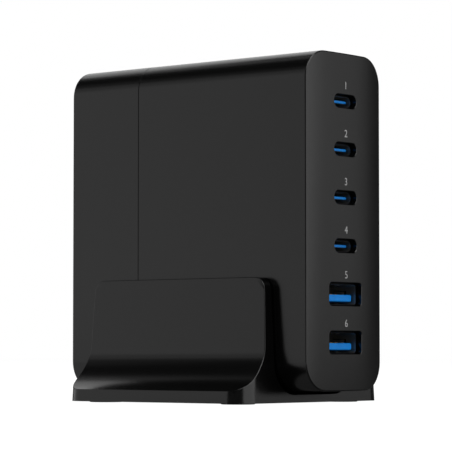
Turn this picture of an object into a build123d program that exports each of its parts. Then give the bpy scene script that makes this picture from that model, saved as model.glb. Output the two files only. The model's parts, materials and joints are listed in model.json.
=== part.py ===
from build123d import *
import os
from math import radians, tan

# Upright multi port USB desktop charger in its stand, in millimetres.
# The origin is on the table under the middle of the charger. +Z is up, the sockets face -Y,
# and the broad sides face -X and +X.

# Charger housing
body_width = 32.0
body_depth = 81.0  # from the side edges of the face to the back
body_height = 87.5
body_corner = 7.5
face_crown = 0.8  # how far the middle of the face stands out from its side edges
face_edge_radius = 0.4
back_edge_radius = 0.5
wall = 2.0
rear_length = 24.3  # from the seam to the back
seam_gap = 0.25
lip_length = 3.0
lip_thickness = 1.2
slip = 0.1  # clearance between pieces that slide together

# Stand
base_width = 60.0
base_length = 61.5
base_corner = 5.5
base_edge_height = 3.1
channel_floor = 2.15  # thickness of the stand under the charger
wing_height = 32.2  # from the underside of the stand
wing_top_thickness = 2.75
wing_gap = 0.45  # between a wing and the charger
wing_corner = 3.4
draft = 2.8  # degrees, on the outside of the wings and all round the stand
cove_height = 14.7  # from the underside of the stand to where the flat of a wing turns into its cove
cove_radius = 8.8  # of the cove's upper arc; the lower one runs on from it to the rim
cove_turn = 28.2  # degrees, how far the upper arc turns
stand_edge_radius = 0.2
foot_diameter = 9.0
foot_thickness = 0.8
foot_recess = 0.5
foot_inset = 8.0  # from the edges of the base to a foot's middle
foot_edge_radius = 0.2
pad_length = 34.0
pad_width = 5.0
pad_thickness = 0.8
pad_spacing = 9.0

# Sockets
usb_c_count = 4
usb_a_count = 2
socket_pitch = 12.5
opening_chamfer = 0.15
shell_recess = 1.7  # from the middle of the face to the shells
shell_length = 11.0
usb_c_opening_width = 9.6
usb_c_opening_height = 3.55
usb_c_shell_width = 8.94
usb_c_shell_height = 3.26
usb_c_steel = 0.3
usb_c_tongue_width = 6.69
usb_c_tongue_thickness = 0.7
usb_a_opening_width = 13.9
usb_a_opening_height = 6.0
usb_a_opening_corner = 1.0
usb_a_shell_width = 13.1
usb_a_shell_height = 5.7
usb_a_shell_corner = 0.9
usb_a_steel = 0.3
usb_a_tongue_width = 11.1
usb_a_tongue_thickness = 1.84
usb_a_tongue_drop = 1.0  # below the middle of the socket
usb_a_tongue_corner = 0.55
tongue_recess = 2.4  # from the middle of the face to the tongues
insert_length = 2.6  # of the block that carries a tongue
contact_width = 1.0
contact_thickness = 0.12
contact_length = 6.0
contact_pitches = (-3.5, -1.0, 1.0, 3.5)
spring_width = 1.6
spring_length = 4.6  # of the window that a spring is cut from
spring_bend = 3.2  # from the root of a spring to its bend
spring_reach = 4.1  # from the root of a spring to its tip
spring_sag = 0.4
spring_spacing = 6.6
spring_setback = 0.7  # from an insert's block to the root of the springs

# Mains inlet
inlet_height = 18.75  # of its middle, above the underside of the charger
inlet_width = 19.0
inlet_thickness = 10.4
inlet_flange = 1.2  # how far the flange reaches out behind the back wall
inlet_flange_thickness = 1.5
inlet_lobe = 8.0
inlet_waist = 5.8
inlet_depth = 12.0
inlet_floor = 2.0
pin_spacing = 8.6
pin_diameter = 2.36
pin_recess = 2.6
terminal_thickness = 0.8
terminal_step = 1.2  # from the inlet to the first terminal, and between the terminals

# Boards and what they carry
board_thickness = 1.6
insulation_thickness = 0.3
spreader_thickness = 1.2
thermal_pad_thickness = 1.0
board_clearance = 3.2  # between the housing and the upper and lower edges of the main board
port_board_edge = 1.4  # between the housing and the free edge of the port board
port_board_gap = 0.4  # between the rails and the port board
main_board_back = 8.0  # from the back of the charger to the main board
rail_thickness = 1.4
rail_overlap = 1.5
rail_start = 4.0  # from the side edges of the face to the rails
spreader_margin = 4.0  # from the edges of the main board to the spreader and its pad
transformer_length = 24.0
transformer_width = 17.0
transformer_height = 18.0
transformer_plate = 3.8
transformer_leg = 9.0
transformer_side_leg = 3.0
transformer_gap = 0.8  # from the output capacitors
transformer_chamfer = 0.6
winding_gap = 0.2
bulk_capacitor_diameter = 16.0
bulk_capacitor_height = 20.0
bulk_capacitor_spacing = 16.6
bulk_capacitor_lift = 11.0  # from the lower edge of the main board
bulk_capacitor_edge = 1.2
output_capacitor_diameter = 8.0
output_capacitor_height = 12.0
output_capacitor_count = 4
output_capacitor_pitch = 9.2
output_capacitor_drop = 2.4  # from the upper edge of the main board
output_capacitor_gap = 0.8  # from the inductors behind the sockets
choke_radius = 5.6
choke_thickness = 6.0
choke_drop = 13.0
rear_row = 19.5  # from the back of the charger to the line filter parts
filter_capacitor_size = (13.0, 6.5)
filter_capacitor_height = 12.0
filter_capacitor_drop = 28.0
moulded_corner = 0.6  # of the filter capacitor and the inductors
fuse_diameter = 4.6
fuse_height = 9.0
fuse_drop = 38.0
heat_sink_size = (1.5, 22.0)
heat_sink_height = 17.0
heat_sink_back = 31.5  # from the back of the charger
heat_sink_drop = 15.0
rectifier_size = (3.2, 12.0)
rectifier_height = 10.0
switch_size = 8.0
switch_thickness = 0.9
switch_pitch = 10.0
switch_gap = 0.8  # from the output capacitors
switch_drop = 11.0  # from the upper edge of the main board
inductor_size = (7.0, 6.6)
inductor_height = 4.6
inductor_offset = 5.0
controller_size = 4.0
controller_thickness = 0.9
controller_offset = 3.5

# Places worked out from the sizes above
half_width = body_width / 2
stand_bottom = foot_thickness - foot_recess
floor_top = stand_bottom + channel_floor
body_bottom = floor_top + pad_thickness
body_top = body_bottom + body_height
body_middle = (body_bottom + body_top) / 2
back_y = (body_depth + face_crown) / 2
face_y = -back_y
edge_y = back_y - body_depth
inner_face_y = edge_y + wall
inner_back_y = back_y - wall
seam_y = back_y - rear_length
inner_width = body_width - 2 * wall
inner_height = body_height - 2 * wall
inner_corner = body_corner - wall

socket_count = usb_c_count + usb_a_count
socket_heights = [body_middle + socket_pitch * ((socket_count - 1) / 2 - i) for i in range(socket_count)]
usb_c_heights = socket_heights[:usb_c_count]
usb_a_heights = socket_heights[usb_c_count:]
shell_front_y = face_y + shell_recess
tongue_front_y = face_y + tongue_recess
port_board_front_y = shell_front_y + shell_length
port_board_back_y = port_board_front_y + board_thickness
insert_front_y = port_board_front_y - insert_length

insulation_x = inner_width / 2 - slip
spreader_x = insulation_x - insulation_thickness
thermal_pad_x = spreader_x - spreader_thickness
main_board_outer_x = thermal_pad_x - thermal_pad_thickness
main_board_x = main_board_outer_x - board_thickness
main_board_bottom = body_bottom + wall + board_clearance
main_board_top = body_top - wall - board_clearance
main_board_front_y = port_board_front_y
main_board_end_y = back_y - main_board_back
inlet_z = body_bottom + inlet_height
inlet_end_y = back_y - inlet_depth - inlet_floor

# Sketch planes. On the component planes, local y is up.
component_plane = Plane(origin=(main_board_x, 0, 0), x_dir=(0, -1, 0), z_dir=(-1, 0, 0))
port_board_plane = Plane(origin=(0, port_board_back_y, 0), x_dir=(-1, 0, 0), z_dir=(0, 1, 0))


def section_at(y):
    """Plane across the charger at y, looking along +Y: local x is X, local y is Z."""
    return Plane.XZ.offset(-y)


def keep(part, name):
    """Label a finished piece and write it to its own file."""
    part.label = name
    export_step(part, f"parts/{name}.step")


os.makedirs("parts", exist_ok=True)

# Stand: one moulding, its section cut by its drafted plan. The rounding of the wings' upper edges
# runs on down their ends and along the rim of the base.
base_half_width = base_width / 2
base_half_length = base_length / 2
wing_inner_x = half_width + wing_gap
wing_outer_x = wing_inner_x + wing_top_thickness
wing_top = stand_bottom + wing_height
channel_corner = body_corner + wing_gap
rim_z = stand_bottom + base_edge_height
cove_z = stand_bottom + cove_height
cove_x = wing_outer_x + (wing_top - cove_z) * tan(radians(draft))
wing_down = (cove_x - wing_outer_x, cove_z - wing_top)

with BuildPart() as stand:
    with BuildSketch(section_at(base_half_length)):
        with BuildLine():
            Polyline((0, stand_bottom), (base_half_width, stand_bottom), (base_half_width, rim_z))
            upper_cove = JernArc((cove_x, cove_z), wing_down, cove_radius, cove_turn)
            TangentArc(upper_cove @ 1, (base_half_width, rim_z), tangent=upper_cove % 1)
            Polyline(
                (cove_x, cove_z),
                (wing_outer_x, wing_top),
                (wing_inner_x, wing_top),
                (wing_inner_x, floor_top + channel_corner),
            )
            RadiusArc(
                (wing_inner_x, floor_top + channel_corner),
                (wing_inner_x - channel_corner, floor_top),
                channel_corner,
            )
            Line((wing_inner_x - channel_corner, floor_top), (0, floor_top))
            mirror(about=Plane.YZ)
        make_face()
    extrude(amount=base_length)
    with BuildSketch(Plane.XY.offset(stand_bottom)):
        RectangleRounded(base_width, base_length, base_corner)
    extrude(amount=wing_height, taper=draft, mode=Mode.INTERSECT)
    wing_ends = stand.edges().filter_by(Axis.X).group_by(Axis.Z)[-1]
    fillet(wing_ends, radius=wing_corner)
    wing_edges = stand.edges().filter_by(Axis.Y).group_by(Axis.Z)[-1]
    fillet(wing_edges, radius=stand_edge_radius)
    with BuildSketch(Plane.XY.offset(stand_bottom)):
        with GridLocations(base_width - 2 * foot_inset, base_length - 2 * foot_inset, 2, 2):
            Circle(foot_diameter / 2)
    extrude(amount=foot_recess, mode=Mode.SUBTRACT)
keep(stand.part, "stand")

with BuildPart() as stand_feet:
    with BuildSketch(Plane.XY):
        with GridLocations(base_width - 2 * foot_inset, base_length - 2 * foot_inset, 2, 2):
            Circle(foot_diameter / 2 - slip)
    extrude(amount=foot_thickness)
    fillet(stand_feet.edges().group_by(Axis.Z)[0], radius=foot_edge_radius)
keep(stand_feet.part, "stand_feet")

with BuildPart() as cradle_pads:
    with BuildSketch(Plane.XY.offset(floor_top)):
        with GridLocations(pad_spacing, 1, 2, 1):
            SlotOverall(pad_length, pad_width, rotation=90)
    extrude(amount=pad_thickness)
keep(cradle_pads.part, "cradle_pads")

# Front housing: a tub with a crowned face, six openings and two rails for the main board
rail_height = board_clearance + rail_overlap
rail_front_y = edge_y + rail_start
rail_end_y = seam_y - lip_length - seam_gap
rail_x = main_board_x - slip - rail_thickness / 2

with BuildPart() as front_housing:
    with BuildSketch(section_at(seam_y)):
        with Locations((0, body_middle)):
            RectangleRounded(body_width, body_height, body_corner)
    extrude(amount=seam_y - face_y)
    with BuildSketch(Plane.XY.offset(body_bottom)):
        with BuildLine():
            ThreePointArc((-half_width, edge_y), (0, face_y), (half_width, edge_y))
            Polyline(
                (half_width, edge_y),
                (half_width, seam_y),
                (-half_width, seam_y),
                (-half_width, edge_y),
            )
        make_face()
    extrude(amount=body_height, mode=Mode.INTERSECT)
    face_rim = front_housing.faces().sort_by(Axis.Y)[0].outer_wire().edges()
    fillet(face_rim, radius=face_edge_radius)
    with BuildSketch(section_at(seam_y)):
        with Locations((0, body_middle)):
            RectangleRounded(inner_width, inner_height, inner_corner)
    extrude(amount=seam_y - inner_face_y, mode=Mode.SUBTRACT)
    with BuildSketch(section_at(inner_face_y)):
        with Locations(*[(0, height) for height in usb_c_heights]):
            SlotOverall(usb_c_opening_width, usb_c_opening_height)
        with Locations(*[(0, height) for height in usb_a_heights]):
            RectangleRounded(usb_a_opening_width, usb_a_opening_height, usb_a_opening_corner)
    extrude(amount=inner_face_y - face_y, mode=Mode.SUBTRACT)
    crowned_face = front_housing.faces().sort_by(Axis.Y)[0]
    opening_edges = [edge for wire in crowned_face.inner_wires() for edge in wire.edges()]
    chamfer(opening_edges, length=opening_chamfer)
    with BuildSketch(section_at(rail_end_y)):
        with Locations((rail_x, body_bottom + wall), (rail_x, body_top - wall)):
            Rectangle(rail_thickness, 2 * rail_height)
        with Locations((0, body_middle)):
            RectangleRounded(
                body_width - wall,
                body_height - wall,
                body_corner - wall / 2,
                mode=Mode.INTERSECT,
            )
    extrude(amount=rail_end_y - rail_front_y)
keep(front_housing.part, "front_housing")

# Rear housing: a cap with a lip that enters the front housing, and the opening for the inlet
lip_start_y = seam_y - lip_length
lip_root_y = seam_y + seam_gap + lip_length
lip_width = inner_width - 2 * slip
lip_height = inner_height - 2 * slip

with BuildPart() as rear_housing:
    with BuildSketch(section_at(back_y)):
        with Locations((0, body_middle)):
            RectangleRounded(body_width, body_height, body_corner)
    extrude(amount=rear_length - seam_gap)
    fillet(rear_housing.faces().sort_by(Axis.Y)[-1].outer_wire().edges(), radius=back_edge_radius)
    with BuildSketch(section_at(inner_back_y)):
        with Locations((0, body_middle)):
            RectangleRounded(inner_width, inner_height, inner_corner)
    extrude(amount=inner_back_y - lip_root_y, mode=Mode.SUBTRACT)
    with BuildSketch(section_at(seam_y + seam_gap)):
        with Locations((0, body_middle)):
            RectangleRounded(lip_width, lip_height, inner_corner)
    extrude(amount=seam_gap + lip_length)
    with BuildSketch(section_at(lip_root_y)):
        with Locations((0, body_middle)):
            RectangleRounded(
                lip_width - 2 * lip_thickness,
                lip_height - 2 * lip_thickness,
                inner_corner - lip_thickness,
            )
    extrude(amount=lip_root_y - lip_start_y, mode=Mode.SUBTRACT)
    with BuildSketch(section_at(back_y)):
        with Locations((0, inlet_z)):
            SlotOverall(inlet_width + 2 * slip, inlet_thickness + 2 * slip)
    extrude(amount=wall, mode=Mode.SUBTRACT)
keep(rear_housing.part, "rear_housing")

# Mains inlet: a two-pin figure-eight socket set in the back wall, and its pins
with BuildPart() as ac_inlet:
    with BuildSketch(section_at(back_y)):
        with Locations((0, inlet_z)):
            SlotOverall(inlet_width, inlet_thickness)
    extrude(amount=back_y - inlet_end_y)
    with BuildSketch(section_at(inner_back_y)):
        with Locations((0, inlet_z)):
            SlotOverall(inlet_width + 2 * inlet_flange, inlet_thickness + 2 * inlet_flange)
    extrude(amount=inlet_flange_thickness)
    with BuildSketch(section_at(back_y)):
        with Locations((0, inlet_z)):
            Rectangle(pin_spacing, inlet_waist)
            with GridLocations(pin_spacing, 1, 2, 1):
                Circle(inlet_lobe / 2)
    extrude(amount=inlet_depth, mode=Mode.SUBTRACT)
    with BuildSketch(section_at(inlet_end_y + inlet_floor)):
        with Locations((0, inlet_z)):
            with GridLocations(pin_spacing, 1, 2, 1):
                Circle(pin_diameter / 2)
    extrude(amount=inlet_floor, mode=Mode.SUBTRACT)
keep(ac_inlet.part, "ac_inlet")

with BuildPart() as ac_pins:
    for side, step in ((1, 1), (-1, 2)):
        pin_x = side * pin_spacing / 2
        terminal_y = inlet_end_y - step * (terminal_step + terminal_thickness)
        with BuildSketch(section_at(back_y - pin_recess)):
            with Locations((pin_x, inlet_z)):
                Circle(pin_diameter / 2)
        extrude(amount=back_y - pin_recess - terminal_y)
        with BuildSketch(section_at(terminal_y + terminal_thickness)):
            with Locations((pin_x - pin_diameter / 2, inlet_z)):
                Rectangle(
                    main_board_x - pin_x + pin_diameter / 2,
                    pin_diameter,
                    align=(Align.MIN, Align.CENTER),
                )
        extrude(amount=terminal_thickness)
keep(ac_pins.part, "ac_pins")


def usb_c_shell(height):
    """Drawn steel shell of one USB-C socket."""
    with BuildPart() as shell:
        with BuildSketch(section_at(port_board_front_y)):
            with Locations((0, height)):
                SlotOverall(usb_c_shell_width, usb_c_shell_height)
                SlotOverall(
                    usb_c_shell_width - 2 * usb_c_steel,
                    usb_c_shell_height - 2 * usb_c_steel,
                    mode=Mode.SUBTRACT,
                )
        extrude(amount=shell_length)
    return shell.part


def usb_c_insert(height):
    """Moulded insert of one USB-C socket: a block at the back and a thin tongue."""
    with BuildPart() as insert:
        with BuildSketch(section_at(port_board_front_y)):
            with Locations((0, height)):
                SlotOverall(
                    usb_c_shell_width - 2 * (usb_c_steel + slip),
                    usb_c_shell_height - 2 * (usb_c_steel + slip),
                )
        extrude(amount=insert_length)
        with BuildSketch(section_at(insert_front_y)):
            with Locations((0, height)):
                SlotOverall(usb_c_tongue_width, usb_c_tongue_thickness)
        extrude(amount=insert_front_y - tongue_front_y)
    return insert.part


def usb_a_shell(height):
    """Folded steel shell of one USB-A socket, with a spring finger in each side and two above and below."""
    side_x = usb_a_shell_width / 2 - usb_a_steel / 2
    top_z = usb_a_shell_height / 2 - usb_a_steel / 2
    root_y = insert_front_y - spring_setback
    bend_y = root_y - spring_bend
    tip_y = root_y - spring_reach
    window_y = root_y - spring_length
    window_width = spring_width + 4 * slip
    spring_x = spring_spacing / 2
    with BuildPart() as shell:
        with BuildSketch(section_at(port_board_front_y)):
            with Locations((0, height)):
                RectangleRounded(usb_a_shell_width, usb_a_shell_height, usb_a_shell_corner)
                RectangleRounded(
                    usb_a_shell_width - 2 * usb_a_steel,
                    usb_a_shell_height - 2 * usb_a_steel,
                    usb_a_shell_corner - usb_a_steel,
                    mode=Mode.SUBTRACT,
                )
        extrude(amount=shell_length)
        with BuildSketch(Plane.XY.offset(height - usb_a_shell_height)):
            with Locations((-spring_x, window_y), (spring_x, window_y)):
                Rectangle(window_width, spring_length, align=(Align.CENTER, Align.MIN))
        extrude(amount=2 * usb_a_shell_height, mode=Mode.SUBTRACT)
        with BuildSketch(Plane.YZ.offset(-usb_a_shell_width)):
            with Locations((window_y, height)):
                Rectangle(spring_length, window_width, align=(Align.MIN, Align.CENTER))
        extrude(amount=2 * usb_a_shell_width, mode=Mode.SUBTRACT)
        with BuildSketch(Plane.XY.offset(height - spring_width / 2)):
            with BuildLine():
                Polyline(
                    (side_x, root_y + spring_setback / 2),
                    (side_x, root_y),
                    (side_x - spring_sag, bend_y),
                    (side_x - spring_sag / 2, tip_y),
                )
            trace(line_width=usb_a_steel)
            mirror(about=Plane.YZ)
        extrude(amount=spring_width)
        for x in (-spring_x, spring_x):
            with BuildSketch(Plane.YZ.offset(x - spring_width / 2)):
                for side in (-1, 1):
                    with BuildLine():
                        Polyline(
                            (root_y + spring_setback / 2, height + side * top_z),
                            (root_y, height + side * top_z),
                            (bend_y, height + side * (top_z - spring_sag)),
                            (tip_y, height + side * (top_z - spring_sag / 2)),
                        )
                    trace(line_width=usb_a_steel)
            extrude(amount=spring_width)
    return shell.part


def usb_a_insert(height):
    """Moulded insert of one USB-A socket: a block at the back and a thick tongue below the middle."""
    with BuildPart() as insert:
        with BuildSketch(section_at(port_board_front_y)):
            with Locations((0, height)):
                RectangleRounded(
                    usb_a_shell_width - 2 * (usb_a_steel + slip),
                    usb_a_shell_height - 2 * (usb_a_steel + slip),
                    usb_a_shell_corner - usb_a_steel,
                )
        extrude(amount=insert_length)
        with BuildSketch(section_at(insert_front_y)):
            with Locations((0, height - usb_a_tongue_drop)):
                RectangleRounded(usb_a_tongue_width, usb_a_tongue_thickness, usb_a_tongue_corner)
        extrude(amount=insert_front_y - tongue_front_y)
    return insert.part


def usb_a_contact_strips(height):
    """Four plated strips on the upper face of one USB-A tongue."""
    tongue_top = height - usb_a_tongue_drop + usb_a_tongue_thickness / 2
    with BuildPart() as strips:
        with BuildSketch(Plane.XY.offset(tongue_top)):
            with Locations(*[(x, insert_front_y) for x in contact_pitches]):
                Rectangle(contact_width, contact_length, align=(Align.CENTER, Align.MAX))
        extrude(amount=contact_thickness)
    return strips.part


for number, height in enumerate(usb_c_heights, start=1):
    keep(usb_c_shell(height), f"usb_c_shell_{number}")
    keep(usb_c_insert(height), f"usb_c_tongue_{number}")

for number, height in enumerate(usb_a_heights, start=1):
    keep(usb_a_shell(height), f"usb_a_shell_{number}")
    keep(usb_a_insert(height), f"usb_a_tongue_{number}")
    keep(usb_a_contact_strips(height), f"usb_a_contacts_{number}")

# Port board behind the sockets, and main board along the broad side
port_board_left_x = -inner_width / 2 + port_board_edge
port_board_height = main_board_top - main_board_bottom - 2 * (rail_overlap + port_board_gap)

with BuildPart() as port_board:
    with BuildSketch(section_at(port_board_back_y)):
        with Locations((port_board_left_x, body_middle)):
            Rectangle(
                main_board_x - port_board_left_x,
                port_board_height,
                align=(Align.MIN, Align.CENTER),
            )
    extrude(amount=board_thickness)
keep(port_board.part, "port_board")

board_length = main_board_end_y - main_board_front_y
board_middle_forward = -(main_board_end_y + main_board_front_y) / 2

with BuildPart() as main_board:
    with BuildSketch(component_plane):
        with Locations((board_middle_forward, body_middle)):
            Rectangle(board_length, main_board_top - main_board_bottom)
    extrude(amount=-board_thickness)
keep(main_board.part, "main_board")

# Heat path from the main board to the housing: pad, aluminium plate and insulating sheet
spreader_height = main_board_top - main_board_bottom - 2 * spreader_margin
spreader_front_y = main_board_front_y + spreader_margin
spreader_end_y = lip_start_y - spreader_margin

layers = (
    ("thermal_pad", main_board_outer_x, thermal_pad_thickness),
    ("heat_spreader", thermal_pad_x, spreader_thickness),
    ("insulating_sheet", spreader_x, insulation_thickness),
)
for name, layer_x, thickness in layers:
    with BuildPart() as layer:
        with BuildSketch(Plane.YZ.offset(layer_x)):
            with Locations((spreader_front_y, body_middle)):
                Rectangle(
                    spreader_end_y - spreader_front_y,
                    spreader_height,
                    align=(Align.MIN, Align.CENTER),
                )
        extrude(amount=thickness)
    keep(layer.part, name)

# Places of the parts behind the sockets, from the front to the back
inductor_forward = -(port_board_back_y + inductor_height)
output_capacitor_forward = inductor_forward - output_capacitor_gap - output_capacitor_diameter / 2
output_end_forward = output_capacitor_forward - output_capacitor_diameter / 2
transformer_forward = output_end_forward - transformer_gap - transformer_width / 2
switch_forward = output_end_forward - switch_gap - switch_size / 2

# Transformer: a ferrite core with end plates, a round middle leg and two side legs
with BuildPart() as transformer_core:
    with BuildSketch(component_plane):
        with Locations((transformer_forward, body_middle)):
            Rectangle(transformer_width, transformer_length)
    extrude(amount=transformer_height)
    window_height = transformer_height - 2 * transformer_plate
    with BuildSketch(component_plane.offset(transformer_plate)):
        with Locations((transformer_forward, body_middle)):
            Rectangle(transformer_width, transformer_length - 2 * transformer_side_leg)
            Circle(transformer_leg / 2, mode=Mode.SUBTRACT)
    extrude(amount=window_height, mode=Mode.SUBTRACT)
    core_corners = transformer_core.edges().filter_by(Axis.X).group_by(SortBy.LENGTH)[-1]
    chamfer(core_corners, length=transformer_chamfer)
keep(transformer_core.part, "transformer_core")

with BuildPart() as transformer_winding:
    with BuildSketch(component_plane.offset(transformer_plate + winding_gap)):
        with Locations((transformer_forward, body_middle)):
            Circle(transformer_length / 2 - transformer_side_leg - winding_gap)
            Circle(transformer_leg / 2 + winding_gap, mode=Mode.SUBTRACT)
    extrude(amount=window_height - 2 * winding_gap)
keep(transformer_winding.part, "transformer_winding")

# Capacitors
bulk_capacitor_z = main_board_bottom + bulk_capacitor_lift
output_column = (output_capacitor_count - 1) * output_capacitor_pitch + output_capacitor_diameter
output_capacitor_z = main_board_top - output_capacitor_drop - output_column / 2

with BuildPart() as bulk_capacitors:
    with BuildSketch(component_plane):
        with Locations((0, bulk_capacitor_z)):
            with GridLocations(bulk_capacitor_spacing, 1, 2, 1):
                Circle(bulk_capacitor_diameter / 2)
    extrude(amount=bulk_capacitor_height)
    fillet(bulk_capacitors.edges().group_by(Axis.X)[0], radius=bulk_capacitor_edge)
keep(bulk_capacitors.part, "bulk_capacitors")

with BuildPart() as output_capacitors:
    with BuildSketch(component_plane):
        with Locations((output_capacitor_forward, output_capacitor_z)):
            with GridLocations(1, output_capacitor_pitch, 1, output_capacitor_count):
                Circle(output_capacitor_diameter / 2)
    extrude(amount=output_capacitor_height)
keep(output_capacitors.part, "output_capacitors")

# Line filter parts behind the seam: choke, capacitor and fuse
rear_forward = rear_row - back_y

with BuildPart() as common_mode_choke:
    with BuildSketch(component_plane):
        with Locations((rear_forward, main_board_top - choke_drop)):
            Circle(choke_radius + choke_thickness / 2)
            Circle(choke_radius - choke_thickness / 2, mode=Mode.SUBTRACT)
    extrude(amount=choke_thickness)
    fillet(common_mode_choke.edges().filter_by(GeomType.CIRCLE), radius=choke_thickness / 4)
keep(common_mode_choke.part, "common_mode_choke")

with BuildPart() as filter_capacitor:
    with BuildSketch(component_plane):
        with Locations((rear_forward, main_board_top - filter_capacitor_drop)):
            RectangleRounded(*filter_capacitor_size, moulded_corner)
    extrude(amount=filter_capacitor_height)
keep(filter_capacitor.part, "filter_capacitor")

with BuildPart() as fuse:
    with BuildSketch(component_plane):
        with Locations((rear_forward, main_board_top - fuse_drop)):
            Circle(fuse_diameter / 2)
    extrude(amount=fuse_height)
keep(fuse.part, "fuse")

# Rectifier on its heat sink, and the power switches
sink_forward = heat_sink_back - back_y
sink_z = main_board_top - heat_sink_drop
rectifier_forward = sink_forward + heat_sink_size[0] / 2

with BuildPart() as heat_sink:
    with BuildSketch(component_plane):
        with Locations((sink_forward, sink_z)):
            Rectangle(*heat_sink_size)
    extrude(amount=heat_sink_height)
keep(heat_sink.part, "heat_sink")

with BuildPart() as bridge_rectifier:
    with BuildSketch(component_plane):
        with Locations((rectifier_forward, sink_z)):
            Rectangle(*rectifier_size, align=(Align.MIN, Align.CENTER))
    extrude(amount=rectifier_height)
keep(bridge_rectifier.part, "bridge_rectifier")

with BuildPart() as power_switches:
    with BuildSketch(component_plane):
        with Locations((switch_forward, main_board_top - switch_drop)):
            with GridLocations(1, switch_pitch, 1, 2):
                Rectangle(switch_size, switch_size)
    extrude(amount=switch_thickness)
keep(power_switches.part, "power_switches")

# Converters on the back of the port board: one inductor and one controller for each socket
with BuildPart() as buck_inductors:
    with BuildSketch(port_board_plane):
        with Locations(*[(inductor_offset, height) for height in socket_heights]):
            RectangleRounded(*inductor_size, moulded_corner)
    extrude(amount=inductor_height)
keep(buck_inductors.part, "buck_inductors")

with BuildPart() as port_controllers:
    with BuildSketch(port_board_plane):
        with Locations(*[(-controller_offset, height) for height in socket_heights]):
            Rectangle(controller_size, controller_size)
    extrude(amount=controller_thickness)
keep(port_controllers.part, "port_controllers")
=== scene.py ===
# %% [markdown]
# # A six-socket USB charger standing in its cradle
#
# The real object is a black moulded box about as tall as a playing card, with four USB-C and two
# USB-A sockets down its narrow face, and a loose stand whose two wings hold it upright.
# The solids come from CAD as a fixed frame in metres. This script gives them their finish, their
# smooth surfaces, the small repeated metal parts and the studio that they are seen in.

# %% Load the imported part
import json
import math

import bmesh
import bpy
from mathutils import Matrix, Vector


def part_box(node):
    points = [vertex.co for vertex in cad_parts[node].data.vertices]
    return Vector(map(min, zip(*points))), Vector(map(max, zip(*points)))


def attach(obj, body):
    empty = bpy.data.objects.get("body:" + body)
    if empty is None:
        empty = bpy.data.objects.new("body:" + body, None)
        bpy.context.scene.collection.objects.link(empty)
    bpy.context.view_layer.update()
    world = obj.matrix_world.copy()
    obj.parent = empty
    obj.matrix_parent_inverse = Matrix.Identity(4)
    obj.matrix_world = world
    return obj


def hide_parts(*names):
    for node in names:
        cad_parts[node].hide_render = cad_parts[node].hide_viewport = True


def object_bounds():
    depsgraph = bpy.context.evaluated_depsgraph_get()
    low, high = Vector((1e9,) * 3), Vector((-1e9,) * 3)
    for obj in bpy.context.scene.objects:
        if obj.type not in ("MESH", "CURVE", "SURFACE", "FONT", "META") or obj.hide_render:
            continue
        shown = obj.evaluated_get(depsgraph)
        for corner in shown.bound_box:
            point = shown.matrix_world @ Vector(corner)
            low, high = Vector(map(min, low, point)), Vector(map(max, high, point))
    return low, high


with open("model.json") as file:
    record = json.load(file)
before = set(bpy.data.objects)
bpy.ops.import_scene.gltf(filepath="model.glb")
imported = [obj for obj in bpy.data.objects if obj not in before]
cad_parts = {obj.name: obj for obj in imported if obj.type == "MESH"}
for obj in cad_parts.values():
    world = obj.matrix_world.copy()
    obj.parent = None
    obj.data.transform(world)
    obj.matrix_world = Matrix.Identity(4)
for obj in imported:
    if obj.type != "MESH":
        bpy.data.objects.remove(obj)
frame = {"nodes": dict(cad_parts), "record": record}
nodes = frame["nodes"]
cad_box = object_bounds()
scene = bpy.context.scene
mm = 0.001

cad_size = [round((high - low) / mm, 2) for low, high in zip(*cad_box)]
print("solids loaded:", len(nodes), "size in mm:", cad_size)

# %% [markdown]
# ## Camera
#
# The picture was taken from the left of the sockets, with a long lens and just above the table, so
# that the edges run almost parallel. A camera is three facts: where it stands, what it looks at and
# its lens. They could be matched by eye, but edges of known length in the picture fix them better.

# %% Camera
camera_place = Vector((-489.25, -403.45, 13.53)) * mm
camera_aim = Vector((0.526, -0.239, 47.27)) * mm

camera_data = bpy.data.cameras.new("camera")
camera_data.sensor_width = 36.0
camera_data.lens = 187.6
camera = bpy.data.objects.new("camera", camera_data)
camera.location = camera_place
camera.rotation_euler = (camera_aim - camera_place).to_track_quat("-Z", "Y").to_euler()
scene.collection.objects.link(camera)
scene.camera = camera
print("camera distance in mm:", round((camera_aim - camera_place).length / mm, 1))

# %% [markdown]
# ## Two helpers for every node tree
#
# Colours are picked as sRGB hex values, as on a screen, while a shader counts in linear light, so
# one function turns the first into the second. The other adds a node to a tree: its settings, its
# plain values and its links, all in one call.


# %% Colour and node helpers
def srgb(code):
    """Linear RGBA of an sRGB hex colour such as #1a2b3c."""
    parts = [int(code[i : i + 2], 16) / 255 for i in (1, 3, 5)]
    return [p / 12.92 if p <= 0.04045 else ((p + 0.055) / 1.055) ** 2.4 for p in parts] + [1.0]


def add_node(tree, kind, inputs=None, **settings):
    """Adds a node. Each of its inputs gets a plain value, or a link from another node's output."""
    node = tree.nodes.new(kind)
    for name, value in settings.items():
        setattr(node, name, value)
    for socket, value in (inputs or {}).items():
        if isinstance(value, bpy.types.NodeSocket):
            tree.links.new(value, node.inputs[socket])
        else:
            node.inputs[socket].default_value = value
    return node


print("white in linear light:", srgb("#ffffff")[0], "mid grey:", round(srgb("#808080")[0], 3))

# %% [markdown]
# ## Studio
#
# Black satin plastic shows little colour of its own. What the eye reads is the room that it mirrors,
# so the light is built from what each face looks at. The broad side looks back to the left, the face
# with the sockets looks to the right, and the side of the room where the camera stands is dark: that
# gives the thin dark lines along the edges. Each softbox is placed by the direction in which the
# object sees it. A box in between is left out, and that is a dark band in the roundings.


# %% Softboxes
middle = Vector((0, 0, 45)) * mm
away = 900 * mm


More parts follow.
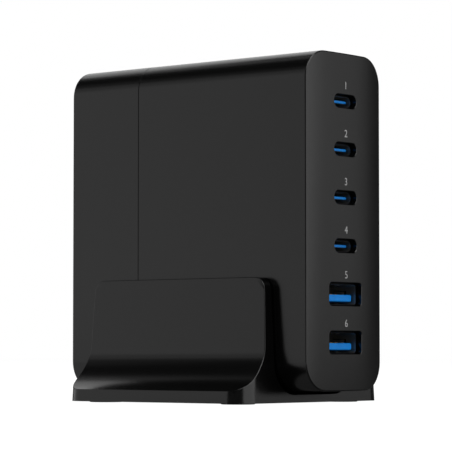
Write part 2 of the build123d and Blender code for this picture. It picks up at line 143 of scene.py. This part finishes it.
def softbox(name, turns, lifts, brightness):
    """A rectangular light of even brightness, aimed at the object. turns are its two sides, in degrees
    from the face with the sockets towards +X, and lifts its lower and upper edge, in degrees above the
    table. White paper in full light would have a brightness of 1."""
    turn = math.radians(sum(turns) / 2)
    lift = math.radians(sum(lifts) / 2)
    light = bpy.data.lights.new(name, "AREA")
    light.shape = "RECTANGLE"
    light.size = 2 * away * math.cos(lift) * math.tan(math.radians(turns[1] - turns[0]) / 2)
    light.size_y = 2 * away * math.tan(math.radians(lifts[1] - lifts[0]) / 2)
    light.energy = 4 * brightness * light.size * light.size_y
    box = bpy.data.objects.new(name, light)
    toward = Vector((math.cos(lift) * math.sin(turn), -math.cos(lift) * math.cos(turn), math.sin(lift)))
    box.location = middle + away * toward
    box.rotation_euler = (-toward).to_track_quat("-Z", "Y").to_euler()
    box.visible_camera = False
    scene.collection.objects.link(box)
    return box


boxes = [
    # The face with the sockets mirrors these two, the brighter one on its left.
    softbox("front_box", (-32, 42.5), (-2.8, 30), 1.08),
    softbox("face_box", (42.5, 58.8), (-2.8, 30), 0.42),
    # The broad side mirrors these three. They fade upwards, and so does the light in its upper rounding.
    softbox("side_box", (-166, -118), (-2.8, 24), 0.51),
    softbox("side_fill", (-166, -118), (24, 34), 0.31),
    softbox("side_edge", (-166, -118), (34, 42), 0.07),
    # The top of the rounding and the cove of the stand mirror these two, from behind.
    softbox("rim_box", (125, 163), (20, 49), 0.73),
    softbox("rim_fill", (163, 179), (36, 60), 0.16),
    # The rear edges of the wing and the base mirror this one, as a thin line.
    softbox("edge_box", (178, 195), (-2.8, 16), 0.9),
    # No broad face mirrors these two to the camera. They light the tongues, the numbers and the top.
    softbox("key_box", (-72, 18), (34, 70), 2.1),
    softbox("top_box", (-80, 80), (74, 102), 2.0),
]
for box in boxes:
    print(box.name, "millimetres:", round(box.data.size / mm), "by", round(box.data.size_y / mm))

# %% [markdown]
# ## Backdrop and table
#
# The object stands on a white table that runs into a white backdrop with no line between them.
# A sheet that is as bright as that would also light every underside, as a light table does. So the
# camera sees the whole sheet lit from below, and the object sees half of that light from far away, which
# its sides mirror to an eye above the table, and close by only at the back left, where the lower rounding
# of the broad side looks down on it. To the front right it stays dark, or the lower half of the face with
# the sockets would brighten towards the table.

# %% Backdrop
scene.view_settings.view_transform = "Standard"
room_light = 0.03
backdrop_light = 1.0

world = bpy.data.worlds.new("studio")
world.use_nodes = True
scene.world = world
sky = world.node_tree
sky.nodes.clear()
seen = add_node(sky, "ShaderNodeLightPath").outputs["Is Camera Ray"]
white = srgb("#ffffff")
room = add_node(sky, "ShaderNodeBackground", {"Color": white, "Strength": room_light})
backdrop = add_node(sky, "ShaderNodeBackground", {"Color": white, "Strength": backdrop_light})
shown = add_node(sky, "ShaderNodeMixShader", {0: seen, 1: room.outputs[0], 2: backdrop.outputs[0]})
add_node(sky, "ShaderNodeOutputWorld", {"Surface": shown.outputs[0]})
print("backdrop to room:", round(backdrop_light / room_light, 1))

# %% Table
table_half = 3000 * mm
table_mesh = bpy.data.meshes.new("table")
table_corners = [(-table_half, -table_half, 0), (table_half, -table_half, 0)]
table_corners += [(table_half, table_half, 0), (-table_half, table_half, 0)]
table_mesh.from_pydata(table_corners, [], [(0, 1, 2, 3)])
table = bpy.data.objects.new("table", table_mesh)
scene.collection.objects.link(table)
print("table width in mm:", round(2 * table_half / mm))

# %% Light of the table
table_light = 0.985
# The pool at the back left begins under the object and is full 50 mm away from its middle.
pool_way = (-0.77, 0.64, 0)
pool_span = {"From Min": -20 * mm, "From Max": 50 * mm, "To Max": 0.45}
far_span = {"From Min": 70 * mm, "From Max": 300 * mm, "To Max": 0.5}
# The face with the sockets looks this way. The cosines are those of 11 and 26 degrees to each side.
dark_way = (0.87, -0.5, 0)
dark_span = {"From Min": 0.98, "From Max": 0.90}

# The sheet is a painted glow: even white for the camera, and for everything else a painted pool of light at
# the back left and painted shade to the front right.
table_white = bpy.data.materials.new("white_sheet_painted_glow")
table_white.use_nodes = True
tree = table_white.node_tree
tree.nodes.clear()
seen = add_node(tree, "ShaderNodeLightPath").outputs["Is Camera Ray"]
place = add_node(tree, "ShaderNodeTexCoord").outputs["Object"]
along = add_node(tree, "ShaderNodeVectorMath", {0: place, 1: pool_way}, operation="DOT_PRODUCT")
pool = add_node(tree, "ShaderNodeMapRange", {"Value": along.outputs["Value"], **pool_span})
reach = add_node(tree, "ShaderNodeVectorMath", {0: place}, operation="LENGTH")
far = add_node(tree, "ShaderNodeMapRange", {"Value": reach.outputs["Value"], **far_span})
outward = add_node(tree, "ShaderNodeVectorMath", {0: place}, operation="NORMALIZE").outputs["Vector"]
facing = add_node(tree, "ShaderNodeVectorMath", {0: outward, 1: dark_way}, operation="DOT_PRODUCT")
aside = add_node(tree, "ShaderNodeMapRange", {"Value": facing.outputs["Value"], **dark_span})
shares = {0: far.outputs["Result"], 1: aside.outputs["Result"]}
spread = add_node(tree, "ShaderNodeMath", shares, operation="MULTIPLY")
levels = {0: pool.outputs["Result"], 1: spread.outputs["Value"]}
both = add_node(tree, "ShaderNodeMath", levels, operation="MAXIMUM")
choice = {"Value": seen, "To Min": both.outputs["Value"], "To Max": table_light}
level = add_node(tree, "ShaderNodeMapRange", choice)
glow = add_node(tree, "ShaderNodeEmission", {"Color": white, "Strength": level.outputs["Result"]})
sheet = add_node(tree, "ShaderNodeBsdfDiffuse", {"Color": srgb("#707070"), "Roughness": 0.6})
lit = add_node(tree, "ShaderNodeAddShader", {0: sheet.outputs[0], 1: glow.outputs[0]})
add_node(tree, "ShaderNodeOutputMaterial", {"Surface": lit.outputs[0]})
table_mesh.materials.append(table_white)
print("nodes in the table's material:", len(tree.nodes))

# %% [markdown]
# ## Plastic
#
# The housing and the stand are ABS, moulded in a spark-eroded tool. That leaves a fine even grain,
# far too fine to see at this distance, which only spreads the highlights: the surface is satin.
# A bump of the grain and a slow drift in its gloss keep it from looking like one flat colour.


# %% Moulded black ABS
def new_material(name):
    """An empty material and its tree."""
    material = bpy.data.materials.new(name)
    material.use_nodes = True
    material.node_tree.nodes.clear()
    return material, material.node_tree


def moulded_abs(name, colour, roughness, grain, grain_depth):
    """Satin moulded plastic. grain is the width of the tool's grain in millimetres."""
    material, tree = new_material(name)
    place = add_node(tree, "ShaderNodeTexCoord").outputs["Object"]
    pits = add_node(tree, "ShaderNodeTexNoise", {"Vector": place, "Scale": 1 / (grain * mm), "Detail": 3.0})
    relief = add_node(
        tree,
        "ShaderNodeBump",
        {"Height": pits.outputs["Fac"], "Strength": 0.25, "Distance": grain_depth * mm},
    )
    drift_width = 18 * mm
    drift = add_node(tree, "ShaderNodeTexNoise", {"Vector": place, "Scale": 1 / drift_width})
    gloss = add_node(
        tree,
        "ShaderNodeMapRange",
        {"Value": drift.outputs["Fac"], "To Min": roughness - 0.02, "To Max": roughness + 0.02},
    )
    plastic = add_node(
        tree,
        "ShaderNodeBsdfPrincipled",
        {
            "Base Color": srgb(colour),
            "Roughness": gloss.outputs["Result"],
            "IOR": 1.5,
            "Normal": relief.outputs["Normal"],
        },
    )
    add_node(tree, "ShaderNodeOutputMaterial", {"Surface": plastic.outputs[0]})
    return material


# Black ABS takes nearly all light in, so the eye gets only the mirrored room, softened by the grain.
# The real grain is about 0.05 mm wide. It is drawn five times as coarse, so that it can show at all.
housing_plastic = moulded_abs("moulded_black_abs", "#040404", 0.21, 0.25, 0.01)
stand_plastic = moulded_abs("moulded_black_abs_stand", "#040404", 0.21, 0.25, 0.01)
print("plastics:", housing_plastic.name, stand_plastic.name)

# %% [markdown]
# ## Smooth copies of the moulded pieces
#
# The CAD meshes come as loose triangles with flat shading, which would show as facets in a mirror
# finish. The shapes are right, so they aren't modelled again: a copy of each is merged, and shaded
# smooth wherever its faces meet at a small angle. Weighted normals give the larger faces more say, and
# the broad flat ones keep their own direction, so that only the roundings bend the reflections.


# %% A finished piece
def finished(mesh, name, material, replaced=()):
    """Puts a finished mesh in the scene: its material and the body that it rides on."""
    mesh.materials.clear()
    mesh.materials.append(material)
    piece = bpy.data.objects.new(name, mesh)
    scene.collection.objects.link(piece)
    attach(piece, "root")
    if replaced:
        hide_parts(*replaced)
    return piece


# %% Smooth copies
merge_distance = 0.0005 * mm
sharp_angle = math.radians(25)
flat_angle = math.radians(1)
broad_face = 150 * mm**2
rim_steps = 4


def smooth_mesh(node, rim=0.0):
    """A merged copy of a CAD node's mesh, smooth over its roundings and sharp at its corners. Where rim
    is given, the edge of its foremost face is rounded to that radius."""
    mesh = nodes[node].data.copy()
    work = bmesh.new()
    work.from_mesh(mesh)
    bmesh.ops.remove_doubles(work, verts=work.verts, dist=merge_distance)
    if rim:
        bmesh.ops.dissolve_limit(work, angle_limit=flat_angle, verts=work.verts, edges=work.edges)
        front_y = min(vertex.co.y for vertex in work.verts) + 2 * merge_distance
        edges = [edge for edge in work.edges if all(vertex.co.y < front_y for vertex in edge.verts)]
        bmesh.ops.bevel(work, geom=edges, offset=rim, segments=rim_steps, profile=0.5, affect="EDGES")
    work.to_mesh(mesh)
    work.free()
    mesh.shade_smooth()
    mesh.set_sharp_from_angle(angle=sharp_angle)
    carrier = bpy.data.objects.new("carrier", mesh)
    scene.collection.objects.link(carrier)
    weighted = carrier.modifiers.new("weighted", "WEIGHTED_NORMAL")
    weighted.keep_sharp = True
    weighted.weight = 100
    shaded = bpy.data.meshes.new_from_object(carrier.evaluated_get(bpy.context.evaluated_depsgraph_get()))
    bpy.data.objects.remove(carrier)
    normals = [corner.vector.copy() for corner in shaded.corner_normals]
    for face in shaded.polygons:
        if face.area > broad_face:
            for index in face.loop_indices:
                normals[index] = face.normal
    shaded.normals_split_custom_set(normals)
    return shaded


face_mesh = smooth_mesh("front_housing")
rear_mesh = smooth_mesh("rear_housing")
cradle_mesh = smooth_mesh("stand")
for mesh in (face_mesh, rear_mesh, cradle_mesh):
    print(mesh.name, "faces:", len(mesh.polygons))

# %% [markdown]
# ## True normals for the box
#
# The housing is a rounded rectangle drawn out along its depth, and the face with the sockets is part of
# a wide cylinder that stands out in the middle by less than a millimetre. Their triangles are long and
# uneven, and normals averaged from them would draw streaks from the sockets and bend the reflections at
# the seam. Both shapes are known, so each corner on them gets the normal of the shape itself.

# %% Normals of the box and its crown
box_low, box_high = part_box("rear_housing")
half_width = box_high.x
half_height = (box_high.z - box_low.z) / 2
box_middle_z = (box_high.z + box_low.z) / 2
box_corner = 7.5 * mm
crown = 0.8 * mm
crown_radius = (half_width**2 + crown**2) / (2 * crown)
crown_axis_y = crown_radius - box_high.y
near_shape = 0.06 * mm
near_way = math.radians(6)


def off_core(point):
    """Way from the core of the rounded rectangle to a point, across the depth of the box."""
    x = math.copysign(max(abs(point.x) - half_width + box_corner, 0), point.x)
    height = point.z - box_middle_z
    z = math.copysign(max(abs(height) - half_height + box_corner, 0), height)
    return Vector((x, 0, z))


def off_axis(point):
    """Way from the axis of the crown's cylinder to a point."""
    return Vector((point.x, point.y - crown_axis_y, 0))


def true_normals(mesh, way_out, radius):
    """Gives the faces on a rounded shape its own normals, and returns how many there are."""
    normals = [corner.vector.copy() for corner in mesh.corner_normals]
    count = 0
    for face in mesh.polygons:
        out = way_out(face.center)
        if abs(out.length - radius) < near_shape and face.normal.angle(out) < near_way:
            for index in face.loop_indices:
                normals[index] = way_out(mesh.vertices[mesh.loops[index].vertex_index].co).normalized()
            count += 1
    mesh.normals_split_custom_set(normals)
    return count


for mesh in (face_mesh, rear_mesh):
    print(mesh.name, "faces on the box:", true_normals(mesh, off_core, box_corner))
print("faces on the crown:", true_normals(face_mesh, off_axis, crown_radius))

front = finished(face_mesh, "front_shell", housing_plastic, ["front_housing"])
rear = finished(rear_mesh, "rear_shell", housing_plastic, ["rear_housing"])
cradle = finished(cradle_mesh, "cradle", stand_plastic, ["stand"])
print("finished:", front.name, rear.name, cradle.name)

# %% [markdown]
# ## Blue tongues and steel shells
#
# Each socket is a drawn steel shell round a moulded tongue. The tongues are a bright blue plastic,
# the strongest colour on the object, and the blocks that carry them are painted black, as painted shade
# deep in the socket. The shells are plated steel that lies in shadow; where the sheet was cut, its edge
# has no plating, and at the mouth it is painted near black: bare steel and painted shade.


# %% Blue plastic
def moulded_blue(name, colour):
    """Glossy moulded plastic with a slight flow pattern in its colour."""
    material, tree = new_material(name)
    place = add_node(tree, "ShaderNodeTexCoord").outputs["Object"]
    flow_width = 2.5 * mm
    flow = add_node(tree, "ShaderNodeTexNoise", {"Vector": place, "Scale": 1 / flow_width, "Detail": 1.0})
    tint = add_node(
        tree,
        "ShaderNodeMix",
        {"Factor": flow.outputs["Fac"], "A": srgb(colour), "B": srgb("#0f82e0")},
        data_type="RGBA",
    )
    plastic = add_node(
        tree,
        "ShaderNodeBsdfPrincipled",
        {"Base Color": tint.outputs["Result"], "Roughness": 0.35, "IOR": 1.5, "Specular IOR Level": 0.25},
    )
    add_node(tree, "ShaderNodeOutputMaterial", {"Surface": plastic.outputs[0]})
    return material


# PBT moulded with a strong pigment glows with its own colour, and its gloss is low and even.
blue_plastic = moulded_blue("moulded_blue_pbt", "#1496f5")
print("tongues:", blue_plastic.name)


# %% Plated steel, gold and the black blocks
def plated_metal(name, colour, roughness, line_width):
    """Drawn and plated metal, with fine lines along the draw."""
    material, tree = new_material(name)
    place = add_node(tree, "ShaderNodeTexCoord").outputs["Object"]
    stretched = add_node(
        tree,
        "ShaderNodeMapping",
        {"Vector": place, "Scale": Vector((1, 0.05, 1)) / (line_width * mm)},
    )
    lines = add_node(tree, "ShaderNodeTexNoise", {"Vector": stretched.outputs[0], "Scale": 1.0})
    gloss = add_node(
        tree,
        "ShaderNodeMapRange",
        {"Value": lines.outputs["Fac"], "To Min": roughness - 0.08, "To Max": roughness + 0.08},
    )
    metal = add_node(
        tree,
        "ShaderNodeBsdfPrincipled",
        {"Base Color": srgb(colour), "Metallic": 1.0, "Roughness": gloss.outputs["Result"]},
    )
    add_node(tree, "ShaderNodeOutputMaterial", {"Surface": metal.outputs[0]})
    return material


# Drawn steel under nickel is a warm grey mirror, blurred along the lines that the die left in it.
socket_steel = plated_metal("drawn_plated_steel", "#aaa79f", 0.42, 0.2)
# Where the punch cut the sheet the steel is bare, and its near-black colour is also painted shade at the
# shell's mouth.
bare_edge_and_shade_steel = plated_metal("sheared_edge_painted_shade", "#1d1d1f", 0.55, 0.1)
# Gold plating keeps its colour and its shine, even in the depth of a socket.
gold_plating = plated_metal("gold_plated_contact", "#d8ac52", 0.25, 0.1)
# The blocks behind the tongues are painted black, dull and slightly mottled: painted shade deep in the
# socket.
shaded_back_plastic = moulded_abs("black_lcp_painted_shade", "#0a0a0b", 0.4, 0.3, 0.01)
print("socket materials:", socket_steel.name, bare_edge_and_shade_steel.name, gold_plating.name, shaded_back_plastic.name)

# %% Socket pieces
shaded_back_length = 2.65 * mm
tongue_rim = {"usb_c": 0.18 * mm, "usb_a": 0.35 * mm}
shaded_cut_depth = 0.1 * mm
shaded_cut_facing = -0.9
usb_c_numbers = [name[-1] for name in sorted(nodes) if name.startswith("usb_c_shell_")]
usb_a_numbers = [name[-1] for name in sorted(nodes) if name.startswith("usb_a_shell_")]
for kind, numbers in (("usb_c", usb_c_numbers), ("usb_a", usb_a_numbers)):
    for number in numbers:
        shell = f"{kind}_shell_{number}"
        tongue = f"{kind}_tongue_{number}"
        steel = finished(smooth_mesh(shell), f"{kind}_steel_{number}", socket_steel, [shell])
        steel.data.materials.append(bare_edge_and_shade_steel)
        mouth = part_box(shell)[0].y
        # The cut faces at the mouth get the near-black steel: bare steel and painted shade.
        for face in steel.data.polygons:
            if face.normal.y < shaded_cut_facing and face.center.y < mouth + shaded_cut_depth:
                face.material_index = 1
        insert_mesh = smooth_mesh(tongue, tongue_rim[kind])
        insert = finished(insert_mesh, f"{kind}_insert_{number}", blue_plastic, [tongue])
        insert.data.materials.append(shaded_back_plastic)
        # The back of each tongue gets the black plastic: painted shade deep in the socket.
        for face in insert.data.polygons:
            if face.center.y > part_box(tongue)[1].y - shaded_back_length:
                face.material_index = 1
for number in usb_a_numbers:
    contacts = f"usb_a_contacts_{number}"
    finished(smooth_mesh(contacts), f"usb_a_strips_{number}", gold_plating, [contacts])
print("sockets finished:", len(usb_c_numbers) + len(usb_a_numbers))

# %% [markdown]
# ## Contact strips in the USB-C sockets
#
# A USB-C tongue carries twelve gilt strips above and twelve below, half a millimetre apart. That is
# one shape on a grid: along the tongue's width, on its two sides, and once for each socket. Copying
# meshes in a loop would do, but in Geometry Nodes three lines of points say it once, and each number
# stays an input. Realized at the end, the copies become one plain mesh.

# %% Tree of the contact strips
strips_tree = bpy.data.node_groups.new("contact_strips", "GeometryNodeTree")
strip_inputs = {
    "Strips": "NodeSocketInt",
    "Strip Size": "NodeSocketVector",
    "First Strip": "NodeSocketVector",
    "Strip Step": "NodeSocketVector",
    "First Side": "NodeSocketVector",
    "Side Step": "NodeSocketVector",
    "Sockets": "NodeSocketInt",
    "First Socket": "NodeSocketVector",
    "Socket Step": "NodeSocketVector",
    "Material": "NodeSocketMaterial",
}
for name, kind in strip_inputs.items():
    strips_tree.interface.new_socket(name, in_out="INPUT", socket_type=kind)
strips_tree.interface.new_socket("Geometry", in_out="OUTPUT", socket_type="NodeSocketGeometry")

given = add_node(strips_tree, "NodeGroupInput").outputs
copies = add_node(strips_tree, "GeometryNodeMeshCube", {"Size": given["Strip Size"]}).outputs["Mesh"]
for count, first, step in (
    (given["Strips"], given["First Strip"], given["Strip Step"]),
    (2, given["First Side"], given["Side Step"]),
    (given["Sockets"], given["First Socket"], given["Socket Step"]),
):
    line = {"Count": count, "Start Location": first, "Offset": step}
    row = add_node(strips_tree, "GeometryNodeMeshLine", line)
    copies = add_node(
        strips_tree,
        "GeometryNodeInstanceOnPoints",
        {"Points": row.outputs["Mesh"], "Instance": copies},
    ).outputs["Instances"]
whole = add_node(strips_tree, "GeometryNodeRealizeInstances", {"Geometry": copies}).outputs["Geometry"]
gilt = add_node(strips_tree, "GeometryNodeSetMaterial", {"Geometry": whole, "Material": given["Material"]})
add_node(strips_tree, "NodeGroupOutput", {"Geometry": gilt.outputs["Geometry"]})
print("nodes in the tree:", len(strips_tree.nodes))


# %% The contact strips
def grown(tree, values):
    """A plain mesh of what a Geometry Nodes tree makes from these values of its named inputs."""
    carrier = bpy.data.objects.new("carrier", bpy.data.meshes.new("carrier"))
    scene.collection.objects.link(carrier)
    modifier = carrier.modifiers.new("grown", "NODES")
    modifier.node_group = tree
    for item in tree.interface.items_tree:
        if item.in_out == "INPUT":
            modifier[item.identifier] = values[item.name]
    mesh = bpy.data.meshes.new_from_object(carrier.evaluated_get(bpy.context.evaluated_depsgraph_get()))
    bpy.data.objects.remove(carrier)
    return mesh


tongue_boxes = [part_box(f"usb_c_tongue_{number}") for number in usb_c_numbers]
tongue_heights = [(low.z + high.z) / 2 for low, high in tongue_boxes]
tongue_front = tongue_boxes[0][0].y
tongue_thickness = 0.7 * mm
strip_count = 12
strip_pitch = 0.5 * mm
strip_size = Vector((0.26, 5.2, 0.06)) * mm
strip_setback = 0.5 * mm

strips_mesh = grown(
    strips_tree,
    {
        "Strips": strip_count,
        "Strip Size": strip_size,
        "First Strip": (-strip_pitch * (strip_count - 1) / 2, 0, 0),
        "Strip Step": (strip_pitch, 0, 0),
        "First Side": (0, 0, -tongue_thickness / 2),
        "Side Step": (0, 0, tongue_thickness),
        "Sockets": len(tongue_heights),
        "First Socket": (0, tongue_front + strip_setback + strip_size.y / 2, tongue_heights[0]),
        "Socket Step": (0, 0, tongue_heights[1] - tongue_heights[0]),
        "Material": gold_plating,
    },
)
finished(strips_mesh, "usb_c_strips", gold_plating)
print("contact strips:", len(strips_mesh.polygons) // 6)

# %% [markdown]
# ## Numbers over the sockets
#
# The sockets are marked in pale ink, pad printed: a soft pad picks the ink up from a plate and presses
# it on the curved face, where it lies as a film. Here they are plain numbers. Each is a text turned
# into a mesh, set to its height, and laid on the crown of the face point by point.

# %% Printed ink
# Pad-printed ink is matt and slightly uneven: the pad leaves fine mottling at its own grain.
ink_white, tree = new_material("pad_printed_white_ink")
place = add_node(tree, "ShaderNodeTexCoord").outputs["Object"]
mottle_width = 0.15 * mm
mottle = add_node(tree, "ShaderNodeTexNoise", {"Vector": place, "Scale": 1 / mottle_width, "Detail": 2.0})
tint = add_node(
    tree,
    "ShaderNodeMix",
    {"Factor": mottle.outputs["Fac"], "A": srgb("#9c9c9c"), "B": srgb("#bcbcbc")},
    data_type="RGBA",
)
film = add_node(tree, "ShaderNodeBsdfPrincipled", {"Base Color": tint.outputs["Result"], "Roughness": 0.55})
add_node(tree, "ShaderNodeOutputMaterial", {"Surface": film.outputs[0]})
print("ink:", ink_white.name)

# %% The numbers
number_height = 1.9 * mm
ink_thickness = 0.02 * mm
usb_c_rise = 4.1 * mm
usb_a_rise = 5.0 * mm


def crown_y(x):
    """Where the crowned face is at x."""
    return crown_axis_y - math.sqrt(crown_radius**2 - x**2)


def printed(text, height):
    """Points and faces of a text that lies on the face, with its middle at this height."""
    letters = bpy.data.curves.new("letters", "FONT")
    letters.body = text
    letters.extrude = 1.0
    carrier = bpy.data.objects.new("carrier", letters)
    scene.collection.objects.link(carrier)
    mesh = bpy.data.meshes.new_from_object(carrier.evaluated_get(bpy.context.evaluated_depsgraph_get()))
    bpy.data.objects.remove(carrier)
    xs = [vertex.co.x for vertex in mesh.vertices]
    ys = [vertex.co.y for vertex in mesh.vertices]
    scale = number_height / (max(ys) - min(ys))
    for vertex in mesh.vertices:
        x = scale * (vertex.co.x - (max(xs) + min(xs)) / 2)
        z = height + scale * (vertex.co.y - (max(ys) + min(ys)) / 2)
        vertex.co = (x, crown_y(x) - vertex.co.z * ink_thickness, z)
    return mesh


rises = [usb_c_rise] * len(usb_c_numbers) + [usb_a_rise] * len(usb_a_numbers)
shells = [f"usb_c_shell_{n}" for n in usb_c_numbers] + [f"usb_a_shell_{n}" for n in usb_a_numbers]
print_work = bmesh.new()
for position, (shell, rise) in enumerate(zip(shells, rises)):
    low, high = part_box(shell)
    print_work.from_mesh(printed(str(position + 1), (low.z + high.z) / 2 + rise))
numbers_mesh = bpy.data.meshes.new("port_numbers")
print_work.to_mesh(numbers_mesh)
print_work.free()
finished(numbers_mesh, "port_numbers", ink_white)
print("numbers printed:", len(shells))

# %% [markdown]
# ## Inlet, pins, feet and pads
#
# The mains inlet at the back is a separate moulding in a harder plastic, with two turned and plated
# pins. Under the stand are four rubber feet, and two soft pads in its channel carry the charger.
# They are all CAD shapes, so they get smooth copies and their own materials.


# %% Rubber and plated pins
def surface(name, colours, roughness, grain, stretch=(1, 1, 1), depth=0.0, **sockets):
    """A material from one noise. grain is its width in millimetres, stretch draws it out along an axis,
    and depth is the relief in millimetres. Colour and gloss follow it; sockets go to the shader."""
    material, tree = new_material(name)
    place = add_node(tree, "ShaderNodeTexCoord").outputs["Object"]
    scales = [1 / (grain * mm * factor) for factor in stretch]
    drawn = add_node(tree, "ShaderNodeMapping", {"Vector": place, "Scale": scales}).outputs["Vector"]
    noise = add_node(tree, "ShaderNodeTexNoise", {"Vector": drawn, "Scale": 1.0, "Detail": 3.0})
    pattern = noise.outputs["Fac"]
    low, high = (srgb(code) for code in colours)
    tint = add_node(tree, "ShaderNodeMix", {"Factor": pattern, "A": low, "B": high}, data_type="RGBA")
    gloss = add_node(
        tree,
        "ShaderNodeMapRange",
        {"Value": pattern, "To Min": roughness - 0.06, "To Max": roughness + 0.06},
    )
    relief = add_node(tree, "ShaderNodeBump", {"Height": pattern, "Strength": 0.5, "Distance": depth * mm})
    inputs = {
        "Base Color": tint.outputs["Result"],
        "Roughness": gloss.outputs["Result"],
        "Normal": relief.outputs["Normal"],
    }
    inputs.update({socket.replace("_", " "): value for socket, value in sockets.items()})
    shader = add_node(tree, "ShaderNodeBsdfPrincipled", inputs)
    add_node(tree, "ShaderNodeOutputMaterial", {"Surface": shader.outputs[0]})
    return material


# Moulded silicone rubber is matt and takes a little dust, which greys it unevenly.
rubber = surface("moulded_silicone_rubber", ("#0b0b0c", "#161617"), 0.62, 0.4, depth=0.02)
# Glass-filled PBT is a shade greyer than ABS, with short streaks where the fibres lie.
inlet_plastic = surface("moulded_black_pbt", ("#070708", "#0d0d0e"), 0.4, 0.5, stretch=(1, 4, 1), depth=0.01)
# Turned and nickel-plated brass keeps rings from the lathe under a warm bright skin.
nickel_brass = plated_metal("turned_nickel_plated_brass", "#cfcabf", 0.2, 0.12)

for node, name, material, slot in (
    ("ac_inlet", "inlet_block", inlet_plastic, "inlet_plastic"),
    ("ac_pins", "inlet_pins", nickel_brass, "nickel_brass"),
    ("stand_feet", "rubber_feet", rubber, "rubber"),
    ("cradle_pads", "soft_pads", rubber, "rubber"),
):
    piece = finished(smooth_mesh(node), name, material, [node])
    print(piece.name, "faces:", len(piece.data.polygons))

# %% [markdown]
# ## What is inside
#
# The housing hides the boards and what they carry, so these solids stay as they came from CAD, and
# only get the finish that each has in a real charger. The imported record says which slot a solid
# belongs to, so one table of materials serves them all.

# %% Materials inside
inside = {
    # Glass cloth in epoxy under green solder mask: glossy, with a faint weave of threads.
    "circuit_board": surface(
        "laminated_glass_epoxy", ("#0c4a26", "#125a30"), 0.3, 0.5, depth=0.01, Coat_Weight=0.3
    ),
    # Sintered ferrite is a dull charcoal ceramic with a gritty skin.
    "ferrite": surface("sintered_ferrite", ("#2a2a2c", "#3d3d40"), 0.7, 0.2, depth=0.02),
    # Polyester tape goes round the winding in layers and shines along each edge.
    "winding_tape": surface("wound_polyester_tape", ("#d8a018", "#f0c040"), 0.35, 0.8, stretch=(1, 8, 8)),
    # Enamel over copper wire is amber and glossy, and the turns lie side by side.
    "enamelled_wire": surface(
        "enamelled_copper_wire", ("#6e2e10", "#b8622a"), 0.28, 0.6, stretch=(8, 1, 1), depth=0.1
    ),
    # A capacitor's can is drawn aluminium in a shrunk plastic sleeve: smooth, with faint draw lines.
    "capacitor_can": surface(
        "drawn_aluminium_can", ("#9a9ca0", "#b8babf"), 0.35, 0.3, stretch=(12, 1, 1), Metallic=1.0
    ),
    # The film capacitor is potted in epoxy in a moulded box, flat yellow with a soft shine.
    "film_capacitor": surface("potted_epoxy_box", ("#c89018", "#dcab38"), 0.45, 0.7, depth=0.01),
    # The fuse's body is moulded nylon, tan and slightly translucent at its edges.
    "fuse_body": surface("moulded_nylon", ("#a68a5c", "#bb9f70"), 0.5, 0.6, Subsurface_Weight=0.05),
    # Rolled aluminium sheet shows fine lines along the rolling direction.
    "aluminium_plate": surface(
        "rolled_aluminium_sheet", ("#b4b6ba", "#d0d2d6"), 0.38, 0.25, stretch=(1, 1, 20), Metallic=1.0
    ),
    # Moulded epoxy chips are matt black with the fine texture of the tool.
    "chip_epoxy": surface("moulded_epoxy", ("#151517", "#212124"), 0.6, 0.15, depth=0.01),
    # A silicone gap pad is filled with ceramic powder: pale, soft and speckled.
    "silicone_pad": surface("filled_silicone_sheet", ("#8a98a6", "#a9b6c2"), 0.75, 0.35, depth=0.02),
    # Polyester film is smooth and milky.
    "insulating_film": surface("polyester_film", ("#d6d6cc", "#e6e6de"), 0.3, 3.0),
}
dressed = 0
for part in frame["record"]["subparts"]:
    material = inside.get(part["material_slot"])
    if material:
        mesh = nodes[part["node"]].data
        mesh.materials.clear()
        mesh.materials.append(material)
        dressed += 1
print("solids dressed inside:", dressed)
